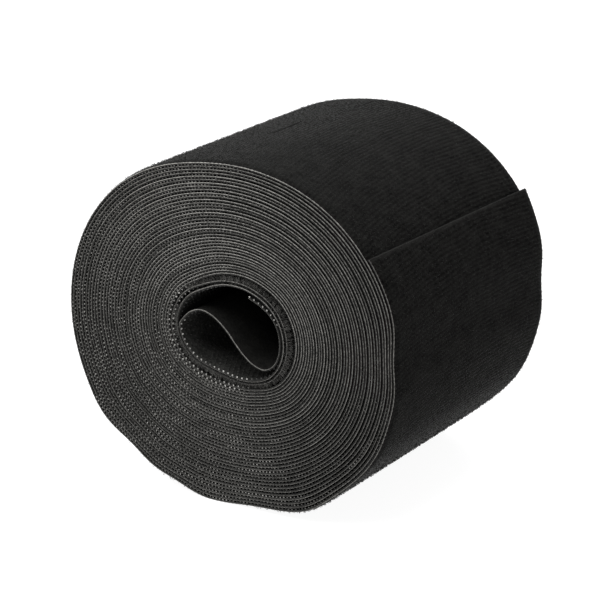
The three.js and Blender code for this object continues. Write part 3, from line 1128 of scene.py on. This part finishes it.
class TAPEROLL_OT_stage(bpy.types.Operator):
    """Makes the camera, the pale floor and the soft studio light"""

    bl_idname = "taperoll.stage"
    bl_label = "Make the stage"

    def execute(self, context):
        scene = context.scene
        scene.view_settings.view_transform = "Standard"
        middle = Vector((MIDDLE_X, 0, MIDDLE_Z))
        camera = bpy.data.objects.new("camera", bpy.data.cameras.new("camera"))
        scene.collection.objects.link(camera)
        camera.data.lens = CAMERA_LENS
        camera.data.sensor_width = CAMERA_SENSOR
        camera.location = middle + Vector(CAMERA_PLACE)
        aim = middle + Vector(CAMERA_AIM) - camera.location
        camera.rotation_euler = aim.to_track_quat("-Z", "Y").to_euler()
        scene.camera = camera
        self.floor()
        self.lights(scene, middle)
        return {"FINISHED"}

    def floor(self):
        """A wide plain floor under the roll."""
        corners = np.array([(-1, -1, 0), (1, -1, 0), (1, 1, 0), (-1, 1, 0)]) * FLOOR_HALF_SIDE
        corners[:, 2] = CAD_LOW.z
        mesh_object("floor", corners, [(0, 1, 2, 3)], [finish("floor_paper")])

    def lights(self, scene, middle):
        """Even light all round, a wide soft lamp above and weak ones behind and on the right."""
        scene.world = bpy.data.worlds.new("studio")
        scene.world.use_nodes = True
        background = scene.world.node_tree.nodes["Background"]
        feed(background, {"Color": (1, 1, 1, 1), "Strength": EVEN_LIGHT})
        for name, kind, power, (spread, amount), place in LAMPS:
            lamp = bpy.data.lights.new(name, kind)
            lamp.energy = power
            setattr(lamp, spread, amount)
            stand = bpy.data.objects.new(name, lamp)
            scene.collection.objects.link(stand)
            stand.location = middle + Vector(place)
            stand.rotation_euler = Vector(place).to_track_quat("Z", "Y").to_euler()


class TAPEROLL_OT_winding(bpy.types.Operator):
    """Winds the two strips from the bore to the outer lap"""

    bl_idname = "taperoll.winding"
    bl_label = "Wind the strips"

    def execute(self, context):
        sizes = context.scene.tape_roll_sizes
        tail_start = tail_marks()[0]
        outer_start = PATH.at_turn(PATH.last_turn - OUTER_LAP_TURNS)
        whole = strip_lengths(PATH.flap_root, tail_start)
        inside = strip_lengths(PATH.flap_root, outer_start)
        outside = even_lengths(outer_start, tail_start, DENSE_STEP)
        hook_side = hook_strip("wound_hook_strip", whole, 2, sizes)
        loop_side = loop_strip("wound_loop_strip", inside, 2, sizes)
        outer_lap = loop_strip("outer_lap_loop_strip", outside, DENSE_COLUMNS, sizes, tape_relief)
        pieces = (
            (hook_side, whole, "winding_hook_strip", "wound_loop_strip"),
            (loop_side, inside, "winding_loop_strip", "wound_hook_strip"),
            (outer_lap, outside, "winding_loop_strip", "wound_hook_strip"),
        )
        for piece, lengths, node, bed in pieces:
            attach(piece, "roll")
            declare_sheet(node)
        return {"FINISHED"}


class TAPEROLL_OT_inner_end(bpy.types.Operator):
    """Makes the free inner end that stands in the bore"""

    bl_idname = "taperoll.inner_end"
    bl_label = "Make the inner end"

    def execute(self, context):
        sizes = context.scene.tape_roll_sizes
        lengths = strip_lengths(0, PATH.flap_root)
        pieces = (
            (hook_strip("inner_end_hooks_film", lengths, 2, sizes), "inner_end_hook_strip"),
            (loop_strip("inner_end_loops", lengths, 2, sizes), "inner_end_loop_strip"),
        )
        for piece, node in pieces:
            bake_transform(piece)
            declare_sheet(node)
        return {"FINISHED"}


class TAPEROLL_OT_tail(bpy.types.Operator):
    """Makes the cut tail that peels off the outer lap"""

    bl_idname = "taperoll.tail"
    bl_label = "Make the tail"

    def execute(self, context):
        sizes = context.scene.tape_roll_sizes
        marks = tail_marks()
        for index, part in enumerate(TAIL_PARTS):
            cut = part == "tip"
            lengths = even_lengths(marks[index], marks[index + 1], DENSE_STEP)
            if cut:
                lengths = np.insert(lengths, -1, lengths[-1] - RIM_BEVEL)
            name, node = f"tail_{part}", f"tail_{index + 1}"
            film = hook_strip(name + "_hook_film", lengths, TAIL_COLUMNS, sizes)
            loops = loop_strip(name + "_loops", lengths, DENSE_COLUMNS, sizes, tape_relief, cut)
            for piece, side in ((film, "_hook_strip"), (loops, "_loop_strip")):
                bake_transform(piece)
                declare_sheet(node + side)
        return {"FINISHED"}


class TAPEROLL_OT_hooks(bpy.types.Operator):
    """Grows the hooks that show: in the bore, along both slit edges and under the tail"""

    bl_idname = "taperoll.hooks"
    bl_label = "Grow the hooks"

    def execute(self, context):
        sizes = context.scene.tape_roll_sizes
        rows = hook_rows_across(sizes)
        inside, slit = rows[1:-1], rows[[0, -1]]
        root, marks = PATH.flap_root, tail_marks()
        bore_end = PATH.at_turn(BORE_HOOKS_END)
        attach(hooks("curl_hooks", root, PATH.lap_start, inside, sizes, "plain_hooks"), "roll")
        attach(hooks("bore_hooks", PATH.lap_start, bore_end, inside, sizes, "plain_hooks"), "roll")
        loose = PATH.at_turn(TIGHT_TURNS[0])
        split = PATH.at_turn(PATH.last_turn * EDGE_ROW_SPLIT)
        stretches = (
            ("loose", root, loose, "loose_hooks", sizes.hook_pitch),
            ("inner", loose, split, "edge_hooks", sizes.edge_pitch),
            ("outer", split, marks[0], "edge_hooks", sizes.edge_pitch),
        )
        for side, across in zip(("front", "back"), slit):
            for laps, start, end, kind, pitch in stretches:
                name = f"{side}_edge_hooks_{laps}_laps"
                row = hooks(name, start, end, [across], sizes, kind, edge_row_depth, pitch)
                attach(row, "roll")
        ends = [("inner_end", HOOK_END_ROOM, root, ("roll", "inner_end", *flap_bend()))]
        for index, part in enumerate(TAIL_PARTS):
            stop = marks[index + 1] - HOOK_END_ROOM
            ends.append((f"tail_{part}", marks[index], stop, tail_bend(index)))
        kinds = (
            ("hooks", inside, "plain_hooks", None),
            ("edge_hooks", slit, "loose_hooks", edge_row_depth),
        )
        for part, start, stop, bend in ends:
            for name, across, kind, depth in kinds:
                piece = hooks(f"{part}_{name}", start, stop, across, sizes, kind, depth)
                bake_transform(piece)
        return {"FINISHED"}


class TAPEROLL_OT_pile(bpy.types.Operator):
    """Raises loose loops of pile on the loose laps, the outer lap and the tail"""

    bl_idname = "taperoll.pile"
    bl_label = "Raise the pile"

    def execute(self, context):
        sizes = context.scene.tape_roll_sizes
        seed, marks = sizes.seed, tail_marks()
        near, far = (sizes.tape_width / 2 - inset for inset in LOOSE_PILE_BAND)
        for side, band in (("front", (-near, -far)), ("back", (far, near))):
            for index, (first, last, rise, share) in enumerate(LOOSE_PILE):
                name = f"{side}_loose_lap_pile_{index + 1}"
                stretch = (PATH.at_turn(first), PATH.at_turn(last))
                loose_seed = seed + LOOSE_PILE_SEED + index
                piece = pile(name, *stretch, sizes, loose_seed, band, rise, share)
                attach(piece, "roll")
        outer_start = PATH.at_turn(PATH.last_turn - OUTER_PILE_TURNS)
        stops = np.linspace(outer_start, marks[0], OUTER_PILE_PIECES + 1)
        for index in range(OUTER_PILE_PIECES):
            stretch = stops[index : index + 2]
            outer_seed = seed + OUTER_PILE_SEED + index
            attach(pile(f"outer_lap_pile_{index + 1}", *stretch, sizes, outer_seed), "roll")
        for index, part in enumerate(TAIL_PARTS):
            stretch = marks[index : index + 2]
            piece = pile(f"tail_{part}_pile", *stretch, sizes, seed + TAIL_PILE_SEED + index)
            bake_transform(piece)
        return {"FINISHED"}


class TAPEROLL_PT_panel(bpy.types.Panel):
    """Sizes, colours and steps of the tape roll"""

    bl_idname = "TAPEROLL_PT_panel"
    bl_label = "Tape roll"
    bl_space_type = "VIEW_3D"
    bl_region_type = "UI"
    bl_category = "Tape roll"

    def draw(self, context):
        for step in STEPS:
            self.layout.operator(step.bl_idname)
        for group in (context.scene.tape_roll_sizes, context.scene.tape_roll_colours):
            for name in group.__annotations__:
                self.layout.prop(group, name)


STEPS = (
    TAPEROLL_OT_stage,
    TAPEROLL_OT_winding,
    TAPEROLL_OT_inner_end,
    TAPEROLL_OT_tail,
    TAPEROLL_OT_hooks,
    TAPEROLL_OT_pile,
)
CLASSES = (TapeRollSizes, TapeRollColours, *STEPS, TAPEROLL_PT_panel)


def register():
    """Adds the classes and the scene's settings."""
    for kind in CLASSES:
        bpy.utils.register_class(kind)
    bpy.types.Scene.tape_roll_sizes = PointerProperty(type=TapeRollSizes)
    bpy.types.Scene.tape_roll_colours = PointerProperty(type=TapeRollColours)


def unregister():
    """Takes the settings and the classes away again."""
    del bpy.types.Scene.tape_roll_colours
    del bpy.types.Scene.tape_roll_sizes
    for kind in reversed(CLASSES):
        bpy.utils.unregister_class(kind)


def main():
    """Builds the roll step by step."""
    register()
    bpy.ops.taperoll.stage()
    bpy.ops.taperoll.winding()
    bpy.ops.taperoll.inner_end()
    bpy.ops.taperoll.tail()
    bpy.ops.taperoll.hooks()
    bpy.ops.taperoll.pile()


if __name__ == "__main__":
    main()
